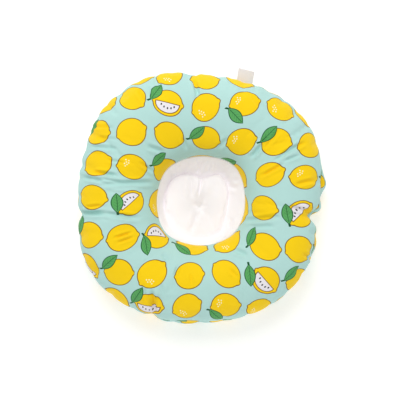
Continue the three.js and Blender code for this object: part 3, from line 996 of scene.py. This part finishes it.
def grid_mesh(name, points, flat, closed_around=True, closed_across=False, turn_over=False):
    """A mesh from a grid of points, closed along either axis, with its places on the flat cloth as map."""
    around_count, across_count = points.shape[:2]
    mesh = bpy.data.meshes.new(name)
    faces = []
    last = across_count if closed_across else across_count - 1
    for i in range(around_count if closed_around else around_count - 1):
        k = (i + 1) % around_count
        for j in range(last):
            m = (j + 1) % across_count
            here, there = i * across_count, k * across_count
            corners = [here + j, there + j, there + m, here + m]
            faces.append(corners[::-1] if turn_over else corners)
    mesh.from_pydata(points.reshape(-1, 3).tolist(), [], faces)
    if flat is not None:
        layer = mesh.uv_layers.new(name="flat_cloth")
        corner_points = np.zeros(len(mesh.loops), int)
        mesh.loops.foreach_get("vertex_index", corner_points)
        layer.data.foreach_set("uv", flat.reshape(-1, 2)[corner_points].astype(np.float32).ravel())
    mesh.shade_smooth()
    mesh.update()
    piece = bpy.data.objects.new(name, mesh)
    bpy.context.scene.collection.objects.link(piece)
    return piece


def apply_modifiers(piece):
    """Puts a piece's modifiers into its mesh."""
    bpy.context.view_layer.update()
    graph = bpy.context.evaluated_depsgraph_get()
    mesh = bpy.data.meshes.new_from_object(
        piece.evaluated_get(graph), preserve_all_data_layers=True, depsgraph=graph
    )
    piece.modifiers.clear()
    old = piece.data
    piece.data = mesh
    mesh.name = piece.name
    bpy.data.meshes.remove(old)
    mesh.shade_smooth()


def thicken(piece, thickness, offset=-1, finer=0):
    """A sheet made finer and given its thickness."""
    if finer:
        subdivision = piece.modifiers.new("smooth", "SUBSURF")
        subdivision.levels = finer
        subdivision.render_levels = finer
    solid = piece.modifiers.new("cloth", "SOLIDIFY")
    solid.thickness = thickness
    solid.offset = offset
    apply_modifiers(piece)


# Puffing up of the sewn cover: a light cloth with a little more length around than the ring has room for
PUFF_FRAMES = 20
PUFF_PRESSURE = 8
PUFF_REACH = 6 * MM
SHORTEST_MOVE = 1e-9

# Waves that hold the extra length: count around, height and start, and how much they lean towards the rim
EXTRA_WAVES = [(29, 1.5 * MM, 0.4), (43, 1.1 * MM, 1.9), (61, 0.7 * MM, 4.1)]
WAVES_AT_START = 0.12
WAVES_LEAN = 3
LEANING_COUNT = 20

# Share of that height at the hole, and where from hole to rim it grows to all of it
EXTRA_AT_HOLE = 0.35
EXTRA_GROWS = (0.4, 0.9)


def puffed(points):
    """The closed cover after a cloth simulation that holds both of its seams."""
    rows = points.shape[1]
    to_rim = np.abs(np.arange(rows) - rows / 2) / (rows / 2)
    extra = EXTRA_AT_HOLE + (1 - EXTRA_AT_HOLE) * smooth_step(*EXTRA_GROWS, to_rim)
    turns = np.arange(len(points))[:, None] * 2 * math.pi / len(points)
    lean = WAVES_LEAN * (to_rim - 0.5)[None]
    waves = sum(
        size * np.cos(count * turns + lean * count / LEANING_COUNT + start)
        for count, size, start in EXTRA_WAVES
    )
    between_seams = np.sin(np.pi * np.arange(rows) / (rows / 2)) ** 2
    waves = (waves * extra * between_seams)[..., None]
    normals = grid_normals(points, True)
    work = grid_mesh("cover_work", points + WAVES_AT_START * waves * normals, None, closed_across=True)
    work.shape_key_add(name="Basis")
    key = work.shape_key_add(name="cut")
    key.data.foreach_set("co", (points + waves * normals).astype(np.float32).ravel())
    key.value = 0
    seams = work.vertex_groups.new(name="seams")
    seams.add([i * rows + j for i in range(len(points)) for j in (0, rows // 2)], 1.0, "REPLACE")
    cloth = work.modifiers.new("cloth", "CLOTH")
    settings = cloth.settings
    settings.quality = 6
    settings.mass = 0.0008
    settings.tension_stiffness = 40
    settings.compression_stiffness = 40
    settings.shear_stiffness = 12
    settings.bending_stiffness = 0.01
    settings.tension_damping = 1
    settings.compression_damping = 1
    settings.shear_damping = 1
    settings.bending_damping = 0.1
    settings.air_damping = 0.1
    settings.rest_shape_key = key
    settings.vertex_group_mass = seams.name
    settings.use_pressure = True
    settings.uniform_pressure_force = PUFF_PRESSURE
    settings.effector_weights.gravity = 0
    cloth.collision_settings.use_self_collision = False
    for step in range(1, PUFF_FRAMES + 1):
        bpy.context.scene.frame_set(step)
    graph = bpy.context.evaluated_depsgraph_get()
    found = np.zeros(points.size, np.float32)
    work.evaluated_get(graph).data.vertices.foreach_get("co", found)
    bpy.context.scene.frame_set(1)
    bpy.data.objects.remove(work)
    moved = found.reshape(points.shape) - points
    length = np.linalg.norm(moved, axis=-1, keepdims=True)
    result = points + moved * np.minimum(1, PUFF_REACH / np.maximum(length, SHORTEST_MOVE))
    result[..., 2] = np.maximum(result[..., 2], 0)
    return result


def dress(piece, material, slot, *nodes):
    """Gives a piece its material and its body, and hides the nodes that it replaces."""
    piece.data.materials.clear()
    piece.data.materials.append(material)
    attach(piece, "root")
    if nodes:
        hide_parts(*nodes)


# Camera, aimed a little off the ring's middle and tilted, with a field that it sees at the seams' height
AIM_SHIFT = (1.14 * MM, 5.13 * MM)
CAMERA_AIM = Vector((RING_CENTRE[0] - AIM_SHIFT[0], RING_CENTRE[1] - AIM_SHIFT[1], SEAM_HEIGHT))
CAMERA_LEAN = 3.0
FIELD = 456 * MM
LENS = 110
SENSOR = 36
camera_distance = FIELD * LENS / SENSOR
camera_data = bpy.data.cameras.new("camera")
camera_data.lens = LENS
camera_data.sensor_width = SENSOR
camera = bpy.data.objects.new("camera", camera_data)
bpy.context.scene.collection.objects.link(camera)
lean = math.radians(CAMERA_LEAN)
camera.location = CAMERA_AIM + camera_distance * Vector((0, -math.sin(lean), math.cos(lean)))
camera.rotation_euler = (lean, 0, 0)
bpy.context.scene.camera = camera


# Light: name, place, width, length and watts
LIGHTS = [
    ("key", (-0.2, 0.95, 1.4), 1.0, 1.0, 15),
    ("fill", (0.45, -0.9, 1.5), 1.5, 1.5, 2.5),
    ("bounce", (0, -1.0, 0.12), 1.4, 0.16, 1.5),
]
LIGHT_AIM = Vector((0, 0, 0.03))
SKY_STRENGTH = 0.53
for name, place, width, length, watts in LIGHTS:
    light_data = bpy.data.lights.new(name, "AREA")
    light_data.shape = "RECTANGLE"
    light_data.size = width
    light_data.size_y = length
    light_data.energy = watts
    light = bpy.data.objects.new(name, light_data)
    light.location = place
    light.rotation_euler = (LIGHT_AIM - Vector(place)).to_track_quat("-Z", "Y").to_euler()
    bpy.context.scene.collection.objects.link(light)
sky = bpy.data.worlds.new("studio")
sky.use_nodes = True
sky_shader = sky.node_tree.nodes["Background"]
sky_shader.inputs["Color"].default_value = (1, 1, 1, 1)
sky_shader.inputs["Strength"].default_value = SKY_STRENGTH
bpy.context.scene.world = sky
bpy.context.scene.view_settings.view_transform = "Standard"

# Floor
FLOOR_HALF = 3
floor_corners = [(x * FLOOR_HALF, y * FLOOR_HALF, 0) for x, y in ((-1, -1), (1, -1), (1, 1), (-1, 1))]
floor_mesh = bpy.data.meshes.new("floor")
floor_mesh.from_pydata(floor_corners, [], [(0, 1, 2, 3)])
floor = bpy.data.objects.new("floor", floor_mesh)
floor.data.materials.append(plain_floor())
bpy.context.scene.collection.objects.link(floor)

# Panels
cotton = printed_cotton()
angles, front_points, front_arcs = panel_grid(1)
_, back_points, back_arcs = panel_grid(-1)
front_flat = cloth_coordinates(angles, front_arcs, 1)
back_flat = cloth_coordinates(angles, back_arcs, -1)
ring_points = np.concatenate([front_points[:, :-1], back_points[:, :0:-1]], axis=1)
ring_points = puffed(ring_points)
ring_points = folded(halved(ring_points, True))
rows = 2 * ROWS_ACROSS
stuffing = grid_mesh("stuffing", inset(ring_points, STUFFING_INSET)[::2, ::2], None, closed_across=True)
front_points = ring_points[:, : rows + 1]
back_points = np.concatenate([ring_points[:, :1], ring_points[:, : rows - 1 : -1]], axis=1)
front = grid_mesh("front_panel_cloth", front_points, halved(front_flat, False))
back = grid_mesh("back_panel_cloth", back_points, halved(back_flat, False), turn_over=True)
for panel in (front, back):
    thicken(panel, COVER_CLOTH)
dress(front, cotton, "printed_cotton", "front_panel")
dress(back, cotton, "printed_cotton", "back_panel")
dress(stuffing, fibre_fill(), "fibre_fill", "filling")

# Neck sleeve
sleeve_points, sleeve_flat = sleeve_grid()
sleeve = grid_mesh("neck_sleeve_cloth", sleeve_points, sleeve_flat)
thicken(sleeve, SLEEVE_CLOTH, offset=0, finer=1)
dress(sleeve, white_cotton(), "white_cotton", "neck_sleeve")

# Label
label_points, label_flat = label_grid()
label = grid_mesh("side_label_tape", label_points, label_flat, closed_around=False)
thicken(label, LABEL_CLOTH, offset=0, finer=1)
dress(label, woven_tape(), "woven_tape", "side_label")
